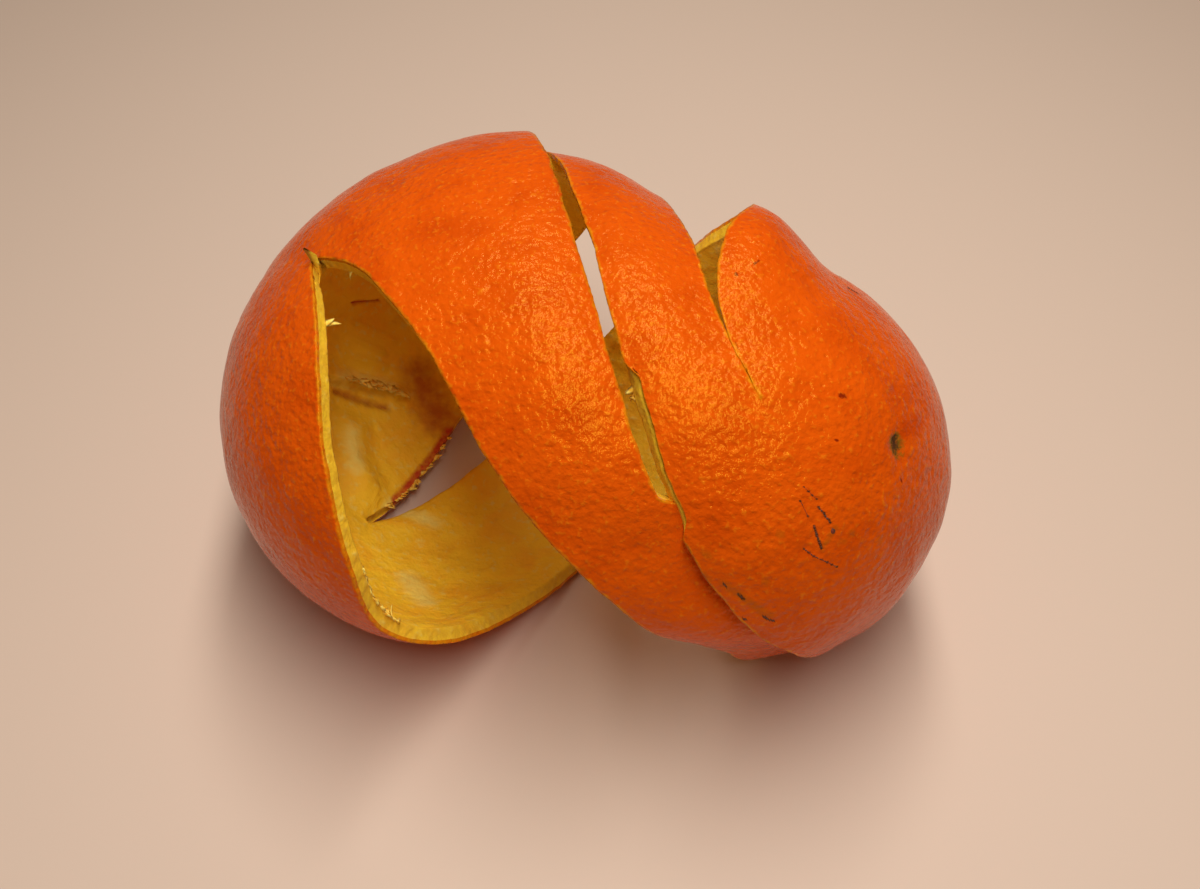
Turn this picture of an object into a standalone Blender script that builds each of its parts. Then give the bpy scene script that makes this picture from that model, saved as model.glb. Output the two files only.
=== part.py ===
"""Peel of one orange, cut along three winding lines and pulled open like a spring.

Both ends of the fruit stay whole as round cups. Three strips of peel join them. The shoulder
leaves the front of the blossom cup, crosses the top and runs down the back. The cradle leaves
the back of that cup and runs underneath to the front of the stem cup. The sash leaves it from
below, climbs over the middle and ends at the back.

The peel is drawn on a bean-shaped hull that lies along X. A place on the hull is a turn angle
in degrees (0 front, 90 top, 180 back, 270 bottom) and an x in millimetres. Other sizes are
millimetres too, and turn to metres when the mesh is made.
"""

import bpy
import numpy as np

NAME = "orange_peel"
MM = 0.001

# Peel
THICKNESS = 3.6
STRIP_COLUMNS = 3
CUP_RINGS = 5
REST_DEPTH = 0.9          # how much of the lowest skin is pressed flat by its own weight
ZEST_COLOUR = "E4700A"
ROUGHNESS = 0.42

# Hull: cross-sections from the stem side to the blossom side, and the length of each round end
HULL_X = (-52.0, -28.0, -0.5)
HULL_Y = (14.2, 11.0, -0.6)
HULL_Z = (41.0, 41.5, 40.0)
HALF_DEPTH = (51.4, 49.8, 41.2)
HALF_HEIGHT = (41.5, 42.0, 40.5)
STEM_LENGTH = 47.8
BLOSSOM_LENGTH = 40.4
BLOSSOM_POLE = (57, 23.5)
STEM_POLE = (172, -96)

# Ends of the three cuts, at the blossom cup and at the stem cup
CROTCH_B1, CROTCH_S1 = (64, 0.6), (281, -79)
CROTCH_B2, CROTCH_S2 = (118, 18), (457, -78.5)
CROTCH_B3, CROTCH_S3 = (-45, 20), (195, -64)

# The two lips of each cut, as places that its edge passes through
CUT1_STEM = (CROTCH_B1, (89, -6.8), (114, -10.5), (135, -16), (175, -29.5), (210, -45),
             (253, -65), CROTCH_S1)
CUT1_BLOSSOM = (CROTCH_B1, (79, -4.2), (93, -6.4), (107, -5), (129, 2.5), (150, -6),
                (205, -23), (253, -53.5), CROTCH_S1)
CUT2_STEM = (CROTCH_B2, (160, 9), (205, 0), (250, -11), (286, -32), (308, -42.5), (327, -51.5),
             (350, -65), (373, -68), (399, -71.8), (433, -74.5), CROTCH_S2)
CUT2_BLOSSOM = (CROTCH_B2, (150, 19), (205, 13), (250, 8), (290, 7), (320, 0), (352, -13),
                (380, -30.5), (393, -39.5), (408, -46.8), (424, -53.8), (438, -62.5),
                (448, -69), CROTCH_S2)
CUT3_STEM = (CROTCH_B3, (-25, 17), (-8, 13), (11, 2.5), (24, -7), (36, -15.2), (60, -22.8),
             (89, -29.4), (130, -39.2), CROTCH_S3)
CUT3_BLOSSOM = (CROTCH_B3, (-25, 15), (-8, 9.1), (11, -2.6), (36, -14.7), (53, -19.5),
                (94, -27.7), (134, -36.9), CROTCH_S3)

# Strips: lips, crotches that their rims in the two cups run between, the turn angles of their
# left and right edges where a stretch begins, and the rows of faces in each stretch
STRIPS = {
    "shoulder": dict(
        lips=(CUT3_BLOSSOM, CUT1_STEM),
        cups=((CROTCH_B3, CROTCH_B1), (CROTCH_S3, CROTCH_S1)),
        left=(CROTCH_B3[0], 40, CROTCH_S3[0]),
        right=(CROTCH_B1[0], 215, CROTCH_S1[0]),
        rows=(8, 14, 7)),
    "cradle": dict(
        lips=(CUT1_BLOSSOM, CUT2_STEM),
        cups=((CROTCH_B1, CROTCH_B2), (CROTCH_S1, CROTCH_S2)),
        left=(CROTCH_B1[0], 132, CROTCH_S1[0]),
        right=(CROTCH_B2[0], 302, CROTCH_S2[0]),
        rows=(5, 14, 12)),
    "sash": dict(
        lips=(CUT2_BLOSSOM, CUT3_STEM),
        cups=((CROTCH_B2, CROTCH_B3), (CROTCH_S2, CROTCH_S3)),
        left=(CROTCH_B2[0], 292, CROTCH_S2[0]),
        right=(CROTCH_B3[0], 108, CROTCH_S3[0]),
        rows=(10, 13, 8)),
}

# How far the strips stand off the hull. A span is the turn angle in the middle and half the
# width; a root or an end is where the lift starts and where it is whole, in x or turn angle.
TIP_LIFT = 9.0            # the cradle's pointed corner beside the blossom cup
TIP_SPAN = (124, 43)
TIP_ROOT = (-34, -14)
TIP_END = (3, 15)
CRADLE_TUCK = 2.0         # where the cradle's front edge draws in under the sash
CRADLE_SPAN = (-42, 45)
CRADLE_ROOT = (-64, -44)
SHOULDER_LIFT = 4.4
SHOULDER_SPAN = (136, 55)
CUP_TUCK = 1.6            # where the blossom cup's edge closes over the sash
CUP_SPAN = (-26, 26)
SASH_LIFT = 8.6
SASH_SPAN = (134, 55)
SASH_ROOT = (0, -20)
SASH_LEFT_SHARE = 0.35    # how much of the lift the sash's left edge has
SASH_TUCK = 5.2           # where the sash passes inside the shoulder's edge
TUCK_START = (-58, -30)
TUCK_END = (46, 16)
LEFT_TUCK = (5, -20)
FRINGE_SAG = 0.8
FRINGE_SPAN = (-80, 35)
FRINGE_ROOT = (-2, 6)
CROWN_LIMIT = 2.4         # the strips' own bulge from edge to edge, most about the middle in x
CROWN_MIDDLE = -29
CROWN_REACH = 34


def fade(t):
    """0 to 1 with level ends"""
    t = np.clip(t, 0, 1)
    return t * t * (3 - 2 * t)


def ramp(value, start, end):
    """0 at the start and 1 at the end, with level ends"""
    return fade((value - start) / (end - start))


def hump(turn, middle, half_width):
    """1 in the middle, level to 0 at the half width"""
    return fade(1 - np.abs(turn - middle) / half_width)


def unit(v):
    return v / np.linalg.norm(v, axis=-1, keepdims=True)


def curve_through(at, values, t, level_ends):
    """smooth curve through values at rising stations"""
    step = np.diff(at)
    chord = np.diff(values) / step
    slope = np.zeros(len(values))
    slope[1:-1] = (chord[:-1] * step[1:] + chord[1:] * step[:-1]) / (step[1:] + step[:-1])
    if not level_ends:
        slope[0], slope[-1] = chord[0], chord[-1]
    t = np.clip(t, at[0], at[-1])
    k = np.clip(np.searchsorted(at, t, side="right") - 1, 0, len(step) - 1)
    s = (t - at[k]) / step[k]
    rise = values[k] + (values[k + 1] - values[k]) * s * s * (3 - 2 * s)
    return rise + step[k] * s * (1 - s) * ((1 - s) * slope[k] - s * slope[k + 1])


def section(x):
    """centre and half sizes of the hull's cross-section at x"""
    core_x = np.clip(x, HULL_X[0], HULL_X[-1])
    stations = np.array(HULL_X)
    y, z, depth, height = (curve_through(stations, np.array(v), core_x, True)
                           for v in (HULL_Y, HULL_Z, HALF_DEPTH, HALF_HEIGHT))
    length = np.where(x > HULL_X[-1], BLOSSOM_LENGTH, STEM_LENGTH)
    return np.stack([core_x, y, z], -1), np.stack([length, depth, height], -1)


def on_hull(turn, x):
    """point of the hull at a turn angle and x"""
    x = np.asarray(x, float)
    core, half = section(x)
    turn = np.radians(turn)
    round_off = np.sqrt(np.clip(1 - ((x - core[..., 0]) / half[..., 0]) ** 2, 0, 1))
    y = core[..., 1] - half[..., 1] * round_off * np.cos(turn)
    z = core[..., 2] + half[..., 2] * round_off * np.sin(turn)
    return np.stack([x + 0 * turn, y, z], -1)


def push_to_hull(points):
    """points moved away from the hull's spine onto the hull, with the normals there"""
    core, half = section(points[..., 0])
    arm = points - core
    reach = np.linalg.norm(arm / half, axis=-1, keepdims=True)
    return core + arm / reach, unit(arm / half ** 2)


def turn_of(points):
    """turn angle of points, from -90 under the front to 270"""
    core, half = section(points[..., 0])
    arm = (points - core) / half
    turn = np.degrees(np.arctan2(arm[..., 2], -arm[..., 1]))
    return (turn + 90) % 360 - 90


def lip_point(knots, turn):
    """point of a cut's edge at a turn angle"""
    at, x = np.array(knots, float).T
    return on_hull(turn, curve_through(at, x, turn, False))


class Cup:
    """round end of the hull, with angles about its pole"""

    def __init__(self, station, pole, winding):
        self.centre = np.array([HULL_X[station], HULL_Y[station], HULL_Z[station]])
        self.pole = on_hull(*pole)
        self.winding = winding
        self.axis = unit(self.pole - self.centre)
        self.side = unit(np.cross(self.axis, (0, 1, 0)))
        self.rise = np.cross(self.axis, self.side)

    def angles(self, points):
        way = unit(points - self.centre)
        around = np.degrees(np.arctan2(way @ self.rise, way @ self.side))
        return around, np.degrees(np.arccos(np.clip(way @ self.axis, -1, 1)))

    def point(self, around, down):
        around, down = np.radians(around)[..., None], np.radians(down)[..., None]
        flat = np.cos(around) * self.side + np.sin(around) * self.rise
        way = np.cos(down) * self.axis + np.sin(down) * flat
        return push_to_hull(self.centre + HALF_DEPTH[-1] * way)[0]

    def rim(self, crotches, t):
        """points of the rim, a fraction t of the way between two crotches, kept near the pole"""
        (start, from_pole), (end, to_pole) = (self.angles(on_hull(*c)) for c in crotches)
        around = start + (end - start) * self.winding % 360 * self.winding * t
        nearness = t ** 3 if to_pole > from_pole else 1 - (1 - t) ** 3
        return self.point(around, from_pole + (to_pole - from_pole) * nearness)

    def ring(self, rim, t):
        """the rim drawn in towards the pole by a fraction t; what stands off the hull dies away"""
        around, down = self.angles(rim)
        proud = np.sum((rim - self.point(around, down)) * unit(rim - self.centre), axis=-1)
        ring = self.point(around, down * (1 - t))
        return ring + (proud * (1 - t) ** 2)[:, None] * unit(ring - self.centre)


BLOSSOM_CUP = Cup(-1, BLOSSOM_POLE, -1)
STEM_CUP = Cup(0, STEM_POLE, 1)


def strip_edges(strip):
    """left and right ends of each row of a strip, from the blossom cup to the stem cup"""
    def along_lip(side, stretch, t):
        start, end = strip[("left", "right")[side]][stretch:stretch + 2]
        return lip_point(strip["lips"][side], start + (end - start) * t)

    left, right = [], []
    for stretch, rows in enumerate(strip["rows"]):
        t = np.arange(rows + (stretch == 2)) / rows
        left.append(along_lip(0, stretch, t) if stretch < 2 else STEM_CUP.rim(strip["cups"][1], t))
        right.append(along_lip(1, stretch - 1, t) if stretch > 0 else BLOSSOM_CUP.rim(strip["cups"][0], t))
    return np.concatenate(left), np.concatenate(right)


def stand_off(name, points, across):
    """how far a strip's skin stands off the hull; across runs 0 to 1 from left to right"""
    turn, x = turn_of(points), points[..., 0]
    if name == "cradle":
        tip = TIP_LIFT * hump(turn, *TIP_SPAN) * np.interp(x, TIP_END, (1, 0)) * ramp(x, *TIP_ROOT)
        return tip - CRADLE_TUCK * hump(turn, *CRADLE_SPAN) * ramp(x, *CRADLE_ROOT)
    if name == "shoulder":
        crest = SHOULDER_LIFT * hump(turn, *SHOULDER_SPAN) * (1 - across * (1 - across))
        return crest - CUP_TUCK * hump(turn, *CUP_SPAN)
    right_side = SASH_LEFT_SHARE + (1 - SASH_LEFT_SHARE) * across ** 1.5
    over = SASH_LIFT * hump(turn, *SASH_SPAN) * right_side * ramp(x, *SASH_ROOT)
    under = ramp(turn, *TUCK_START) * ramp(turn, *TUCK_END)
    inside = SASH_TUCK * under * (across + (1 - across) * ramp(turn, *LEFT_TUCK))
    return over - inside + FRINGE_SAG * hump(turn, *FRINGE_SPAN) * ramp(x, *FRINGE_ROOT)


def strip_grid(name, strip):
    """grid of points of a strip's outer skin"""
    left, right = strip_edges(strip)
    across = np.linspace(0, 1, STRIP_COLUMNS + 1)
    flat = left[:, None] * (1 - across)[:, None] + right[:, None] * across[:, None]
    points, normals = push_to_hull(flat)
    width = np.linalg.norm(right - left, axis=-1)[:, None]
    middle = 1 - np.clip(np.abs(points[..., 0] - CROWN_MIDDLE) / CROWN_REACH, 0, 1) ** 2
    crown = np.minimum(width ** 2 / (8 * HALF_HEIGHT[1]), CROWN_LIMIT) * (4 * across * (1 - across) - 0.5)
    proud = crown * middle + stand_off(name, points, across)
    return points + normals * proud[..., None]


class Cage:
    """vertices and faces of the peel's outer skin"""

    def __init__(self):
        self.points = []
        self.faces = []

    def add(self, points):
        first = len(self.points)
        self.points.extend(points)
        return list(range(first, len(self.points)))

    def fill(self, upper, lower):
        """faces between two rows of vertices; a row of one vertex makes triangles"""
        for k in range(max(len(upper), len(lower)) - 1):
            corners = upper[k:k + 2] if len(upper) > 1 else upper
            corners = corners + (lower[k:k + 2][::-1] if len(lower) > 1 else lower)
            self.faces.append(corners)

    def close_cup(self, cup, rim):
        """rings of faces from a rim in to the cup's pole"""
        rim_points = np.array([self.points[k] for k in rim])
        row = rim
        for k in range(1, CUP_RINGS):
            inner = self.add(cup.ring(rim_points, k / CUP_RINGS))
            self.fill(row + row[:1], inner + inner[:1]) if cup.winding > 0 else \
                self.fill(inner + inner[:1], row + row[:1])
            row = inner
        pole = self.add([cup.pole])
        self.fill(row + row[:1], pole) if cup.winding > 0 else self.fill(pole, row + row[:1])


def build_cage():
    cage = Cage()
    grids = {name: strip_grid(name, strip) for name, strip in STRIPS.items()}
    starts = {name: cage.add(grid[:1, 0]) for name, grid in grids.items()}
    ends = {name: cage.add(grid[-1:, 0]) for name, grid in grids.items()}
    right_neighbour = {"shoulder": "cradle", "cradle": "sash", "sash": "shoulder"}
    left_neighbour = {right: left for left, right in right_neighbour.items()}
    blossom_rim, stem_rim = [], []
    for name, grid in grids.items():
        leaves, joins, _ = np.cumsum(STRIPS[name]["rows"])
        rows = [starts[name]]
        for k in range(1, len(grid) - 1):
            row = [None] * (STRIP_COLUMNS + 1)
            if k == leaves:
                row[-1] = starts[right_neighbour[name]][0]
            if k == joins:
                row[0] = ends[left_neighbour[name]][0]
            rows.append([cage.add([grid[k, c]])[0] if v is None else v for c, v in enumerate(row)])
        rows.append(ends[name])
        for upper, lower in zip(rows, rows[1:]):
            cage.fill(upper, lower)
        blossom_rim += [row[-1] for row in rows[:leaves]]
        stem_rim += [row[0] for row in rows[joins:-1]]
    cage.close_cup(BLOSSOM_CUP, blossom_rim)
    cage.close_cup(STEM_CUP, stem_rim)
    return cage


def zest_material():
    """orange skin, waxy and slightly rough"""
    channels = [int(ZEST_COLOUR[k:k + 2], 16) / 255 for k in (0, 2, 4)]
    linear = [c / 12.92 if c <= 0.04045 else ((c + 0.055) / 1.055) ** 2.4 for c in channels]
    material = bpy.data.materials.new("orange_zest")
    material.use_nodes = True
    shader = material.node_tree.nodes["Principled BSDF"]
    shader.inputs["Base Color"].default_value = (*linear, 1)
    shader.inputs["Roughness"].default_value = ROUGHNESS
    shader.inputs["Metallic"].default_value = 0
    material.diffuse_color = (*linear, 1)
    return material


def new_collection(name):
    collection = bpy.data.collections.new(name)
    bpy.context.scene.collection.children.link(collection)
    return collection


def evaluated_box(piece):
    """lowest and highest corners of an object as its modifiers leave it"""
    bpy.context.view_layer.update()
    mesh = piece.evaluated_get(bpy.context.evaluated_depsgraph_get()).to_mesh()
    corners = np.empty(3 * len(mesh.vertices))
    mesh.vertices.foreach_get("co", corners)
    corners = corners.reshape(-1, 3)
    return corners.min(axis=0), corners.max(axis=0)


def make_peel(collection):
    """the open skin, rounded by subdivision and thickened inwards"""
    cage = build_cage()
    mesh = bpy.data.meshes.new(NAME)
    mesh.from_pydata([tuple(p * MM) for p in cage.points], [], cage.faces)
    mesh.materials.append(zest_material())
    mesh.shade_smooth()
    peel = bpy.data.objects.new(NAME, mesh)
    collection.objects.link(peel)
    rounding = peel.modifiers.new("rounding", "SUBSURF")
    rounding.levels = rounding.render_levels = 1
    pith = peel.modifiers.new("pith", "SOLIDIFY")
    pith.thickness = THICKNESS * MM
    pith.offset = -1
    return peel


def press_flat(peel, collection):
    """cuts the lowest skin level, so that the peel rests on small flat spots"""
    low, high = evaluated_box(peel)
    size = 2 * (high - low)
    bpy.ops.mesh.primitive_cube_add(size=1)
    table = bpy.context.active_object
    table.name = "rest_plane"
    table.scale = size
    table.location = (*(low + high)[:2] / 2, low[2] + REST_DEPTH * MM - size[2] / 2)
    table.display_type = "WIRE"
    table.hide_render = True
    for owner in table.users_collection:
        owner.objects.unlink(table)
    collection.objects.link(table)
    flat = peel.modifiers.new("rest_flat", "BOOLEAN")
    flat.operation = "DIFFERENCE"
    flat.object = table
    return table


def main():
    for old in list(bpy.data.objects):
        bpy.data.objects.remove(old)
    peel = make_peel(new_collection(NAME))
    table = press_flat(peel, new_collection("cutters"))
    low, high = evaluated_box(peel)
    base = np.array([*(low + high)[:2] / 2, low[2]])
    peel.location = -base
    table.location = np.array(table.location) - base


main()
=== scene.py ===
"""Looks of an orange peel that was cut in three winding lines and left on the table.

The skin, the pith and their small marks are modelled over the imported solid, as an add-on with
one operator for each group of pieces. Sizes in the peel's own form are millimetres and degrees.
"""

import bpy
import numpy as np
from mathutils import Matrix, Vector, kdtree, noise


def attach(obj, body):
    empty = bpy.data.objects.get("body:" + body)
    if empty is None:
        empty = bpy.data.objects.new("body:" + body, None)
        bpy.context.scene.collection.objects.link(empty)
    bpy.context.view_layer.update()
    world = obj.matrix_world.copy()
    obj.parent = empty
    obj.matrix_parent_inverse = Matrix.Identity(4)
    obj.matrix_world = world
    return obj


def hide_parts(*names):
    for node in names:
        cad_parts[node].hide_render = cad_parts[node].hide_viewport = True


bl_info = {
    "name": "Orange Peel",
    "version": (1, 0, 0),
    "blender": (4, 5, 0),
    "location": "3D View > Sidebar > Peel",
    "description": "Builds the skin, pith, scars and torn fibres of an orange peel and a plain stage",
    "category": "Add Mesh",
}

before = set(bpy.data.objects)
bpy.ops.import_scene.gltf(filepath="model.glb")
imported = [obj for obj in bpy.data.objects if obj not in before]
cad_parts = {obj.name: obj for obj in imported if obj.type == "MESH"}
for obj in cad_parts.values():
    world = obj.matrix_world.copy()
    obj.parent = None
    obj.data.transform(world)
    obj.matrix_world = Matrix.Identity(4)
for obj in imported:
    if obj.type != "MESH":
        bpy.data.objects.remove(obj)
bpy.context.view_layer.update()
NODE = "orange_peel"
BODY = "root"
MM = 0.001


def linear(hex_colour):
    """sRGB hex to the linear values that shaders use"""
    channels = [int(hex_colour[k:k + 2], 16) / 255 for k in (0, 2, 4)]
    return tuple(c / 12.92 if c <= 0.04045 else ((c + 0.055) / 1.055) ** 2.4 for c in channels)


def opaque(colour):
    """a colour of the sidebar as shaders take it"""
    return (*colour, 1)


def size_prop(name, description, millimetres):
    """a length that the sidebar shows"""
    return bpy.props.FloatProperty(name=name, description=description, default=millimetres * MM,
                                   min=0, precision=5, unit="LENGTH")


def colour_prop(name, description, hex_colour):
    """a colour that the sidebar shows"""
    return bpy.props.FloatVectorProperty(name=name, description=description, subtype="COLOR",
                                         size=3, min=0, max=1, default=linear(hex_colour))


class PeelSizes(bpy.types.PropertyGroup):
    thickness: size_prop("Peel thickness", "Skin and pith together", 3.6)
    gland: size_prop("Gland spacing", "From one oil gland to the next", 1.35)
    gland_depth: size_prop("Gland depth", "How deep the dimple over a gland is", 0.11)
    swell: size_prop("Skin unevenness", "Height of the slow waves in the skin", 0.35)
    rags: size_prop("Pith raggedness", "Height of the torn layers inside", 0.8)


class PeelColours(bpy.types.PropertyGroup):
    zest: colour_prop("Zest", "Ripe skin", "E25606")
    # Also painted shade: laid in the bottoms of the skin's pits and along the grooves of the torn inside.
    zest_deep: colour_prop("Deep zest", "Redder skin between the glands", "C43C02")
    # Also painted glints: this colour lightens the tops of the skin's bumps.
    gland: colour_prop("Oil gland", "Paler dot over each gland", "EE8414")
    lip: colour_prop("Cut lip", "Edge where the zest thins out", "E08A10")
    cut: colour_prop("Cut face", "Freshly cut pith", "ECB21A")
    pith: colour_prop("Pith", "Spongy inner layer, stained by juice", "FFCE20")
    pith_deep: colour_prop("Deep pith", "Pith that holds more juice", "FFBC18")
    # Painted shade: this brown stands for the shadows on the torn inside and in the crease under the ledge.
    pith_shade: colour_prop("Worn pith", "Pith torn through nearly to the zest", "C8740C")
    # Also laid as painted light where the torn inside is lit.
    fibre: colour_prop("Torn fibres", "Pulled strands and flakes", "FAE06A")
    scab: colour_prop("Scab", "Dried scratches", "54301A")
    speck: colour_prop("Speck", "Small red-brown spots", "8A2406")
    dull: colour_prop("Dull patch", "Rubbed and weathered wax", "C0580A")
    hollow: colour_prop("Scar ring", "Green and brown ring round a scar", "7A5A14")


class StageLook(bpy.types.PropertyGroup):
    floor: colour_prop("Floor", "Plain pale tabletop", "E4C8B0")
    key_power: bpy.props.FloatProperty(name="Key light", description="Power of the soft lamp overhead",
                                       default=2.55, min=0, unit="POWER")
    fill: bpy.props.FloatProperty(name="Fill", description="Strength of the even light all round",
                                  default=0.13, min=0)


# ---------------------------------------------------------------- the peel's form

# Where the hull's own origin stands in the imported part
HULL_ORIGIN = (30.1, -12.8, -0.1)

# Hull: cross-sections from the stem side to the blossom side, and the length of each round end
HULL_X = (-52.0, -28.0, -0.5)
HULL_Y = (14.2, 11.0, -0.6)
HULL_Z = (41.0, 41.5, 40.0)
HALF_DEPTH = (51.4, 49.8, 41.2)
HALF_HEIGHT = (41.5, 42.0, 40.5)
STEM_LENGTH = 47.8
BLOSSOM_LENGTH = 40.4
BLOSSOM_POLE = (57, 23.5)
STEM_POLE = (172, -96)

# Ends of the three cuts, at the blossom cup and at the stem cup
CROTCH_B1, CROTCH_S1 = (64, 0.6), (281, -79)
CROTCH_B2, CROTCH_S2 = (118, 18), (457, -78.5)
CROTCH_B3, CROTCH_S3 = (-45, 20), (195, -64)

# The two lips of each cut, as places that its edge passes through
CUT1_STEM = (CROTCH_B1, (89, -6.8), (114, -10.5), (135, -16), (175, -29.5), (210, -45),
             (253, -65), CROTCH_S1)
CUT1_BLOSSOM = (CROTCH_B1, (79, -4.2), (93, -6.4), (107, -5), (129, 2.5), (150, -6),
                (205, -23), (253, -53.5), CROTCH_S1)
CUT2_STEM = (CROTCH_B2, (160, 9), (205, 0), (250, -11), (286, -32), (308, -42.5), (327, -51.5),
             (350, -65), (373, -68), (399, -71.8), (433, -74.5), CROTCH_S2)
CUT2_BLOSSOM = (CROTCH_B2, (150, 19), (205, 13), (250, 8), (290, 7), (320, 0), (352, -13),
                (380, -30.5), (393, -39.5), (408, -46.8), (424, -53.8), (438, -62.5),
                (448, -69), CROTCH_S2)
CUT3_STEM = (CROTCH_B3, (-25, 17), (-8, 13), (11, 2.5), (24, -7), (36, -15.2), (60, -22.8),
             (89, -29.4), (130, -39.2), CROTCH_S3)
CUT3_BLOSSOM = (CROTCH_B3, (-25, 15), (-8, 9.1), (11, -2.6), (36, -14.7), (53, -19.5),
                (94, -27.7), (134, -36.9), CROTCH_S3)

# Strips: lips, crotches that their rims in the two cups run between, the turn angles of their
# left and right edges where a stretch begins, and the rows of faces in each stretch
STRIPS = {
    "shoulder": dict(
        lips=(CUT3_BLOSSOM, CUT1_STEM),
        cups=((CROTCH_B3, CROTCH_B1), (CROTCH_S3, CROTCH_S1)),
        left=(CROTCH_B3[0], 40, CROTCH_S3[0]),
        right=(CROTCH_B1[0], 215, CROTCH_S1[0]),
        rows=(12, 22, 10)),
    "cradle": dict(
        lips=(CUT1_BLOSSOM, CUT2_STEM),
        cups=((CROTCH_B1, CROTCH_B2), (CROTCH_S1, CROTCH_S2)),
        left=(CROTCH_B1[0], 132, CROTCH_S1[0]),
        right=(CROTCH_B2[0], 302, CROTCH_S2[0]),
        rows=(8, 22, 18)),
    "sash": dict(
        lips=(CUT2_BLOSSOM, CUT3_STEM),
        cups=((CROTCH_B2, CROTCH_B3), (CROTCH_S2, CROTCH_S3)),
        left=(CROTCH_B2[0], 292, CROTCH_S2[0]),
        right=(CROTCH_B3[0], 108, CROTCH_S3[0]),
        rows=(16, 20, 12)),
}

STRIP_COLUMNS = 6
CUP_RINGS = 6

# How far the strips stand off the hull. A span is the turn angle in the middle and half the
# width; a root or an end is where the lift starts and where it is whole, in x or turn angle.
TIP_LIFT = 9.0            # the cradle's pointed corner beside the blossom cup
TIP_SPAN = (124, 43)
TIP_ROOT = (-34, -14)
TIP_END = (3, 15)
CRADLE_TUCK = 2.0         # where the cradle's front edge draws in under the sash
CRADLE_SPAN = (-42, 45)
CRADLE_ROOT = (-64, -44)
SHOULDER_LIFT = 4.4
SHOULDER_SPAN = (136, 55)
CUP_TUCK = 1.6            # where the blossom cup's edge closes over the sash
CUP_SPAN = (-26, 26)
SASH_LIFT = 8.6
SASH_SPAN = (134, 55)
SASH_ROOT = (0, -20)
SASH_LEFT_SHARE = 0.35    # how much of the lift the sash's left edge has
SASH_TUCK = 5.2           # where the sash passes inside the shoulder's edge
TUCK_START = (-58, -30)
TUCK_END = (46, 16)
LEFT_TUCK = (5, -20)
FRINGE_SAG = 0.8
FRINGE_SPAN = (-80, 35)
FRINGE_ROOT = (-2, 6)
CROWN_LIMIT = 2.4         # the strips' own bulge from edge to edge, most about the middle in x
CROWN_MIDDLE = -29
CROWN_REACH = 34


def fade(t):
    """0 to 1 with level ends"""
    t = np.clip(t, 0, 1)
    return t * t * (3 - 2 * t)


def ramp(value, start, end):
    """0 at the start and 1 at the end, with level ends"""
    return fade((value - start) / (end - start))


def hump(turn, middle, half_width):
    """1 in the middle, level to 0 at the half width"""
    return fade(1 - np.abs(turn - middle) / half_width)


def unit(v):
    return v / np.linalg.norm(v, axis=-1, keepdims=True)


def curve_through(at, values, t, level_ends):
    """smooth curve through values at rising stations"""
    step = np.diff(at)
    chord = np.diff(values) / step
    slope = np.zeros(len(values))
    slope[1:-1] = (chord[:-1] * step[1:] + chord[1:] * step[:-1]) / (step[1:] + step[:-1])
    if not level_ends:
        slope[0], slope[-1] = chord[0], chord[-1]
    t = np.clip(t, at[0], at[-1])
    k = np.clip(np.searchsorted(at, t, side="right") - 1, 0, len(step) - 1)
    s = (t - at[k]) / step[k]
    rise = values[k] + (values[k + 1] - values[k]) * s * s * (3 - 2 * s)
    return rise + step[k] * s * (1 - s) * ((1 - s) * slope[k] - s * slope[k + 1])


def section(x):
    """centre and half sizes of the hull's cross-section at x"""
    core_x = np.clip(x, HULL_X[0], HULL_X[-1])
    stations = np.array(HULL_X)
    y, z, depth, height = (curve_through(stations, np.array(v), core_x, True)
                           for v in (HULL_Y, HULL_Z, HALF_DEPTH, HALF_HEIGHT))
    length = np.where(x > HULL_X[-1], BLOSSOM_LENGTH, STEM_LENGTH)
    return np.stack([core_x, y, z], -1), np.stack([length, depth, height], -1)


def on_hull(turn, x):
    """point of the hull at a turn angle and x"""
    x = np.asarray(x, float)
    core, half = section(x)
    turn = np.radians(turn)
    round_off = np.sqrt(np.clip(1 - ((x - core[..., 0]) / half[..., 0]) ** 2, 0, 1))
    y = core[..., 1] - half[..., 1] * round_off * np.cos(turn)
    z = core[..., 2] + half[..., 2] * round_off * np.sin(turn)
    return np.stack([x + 0 * turn, y, z], -1)


def push_to_hull(points):
    """points moved away from the hull's spine onto the hull, with the normals there"""
    core, half = section(points[..., 0])
    arm = points - core
    reach = np.linalg.norm(arm / half, axis=-1, keepdims=True)
    return core + arm / reach, unit(arm / half ** 2)


def turn_of(points):
    """turn angle of points, from -90 under the front to 270"""
    core, half = section(points[..., 0])
    arm = (points - core) / half
    turn = np.degrees(np.arctan2(arm[..., 2], -arm[..., 1]))
    return (turn + 90) % 360 - 90


def lip_point(knots, turn):
    """point of a cut's edge at a turn angle"""
    at, x = np.array(knots, float).T
    return on_hull(turn, curve_through(at, x, turn, False))


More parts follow.
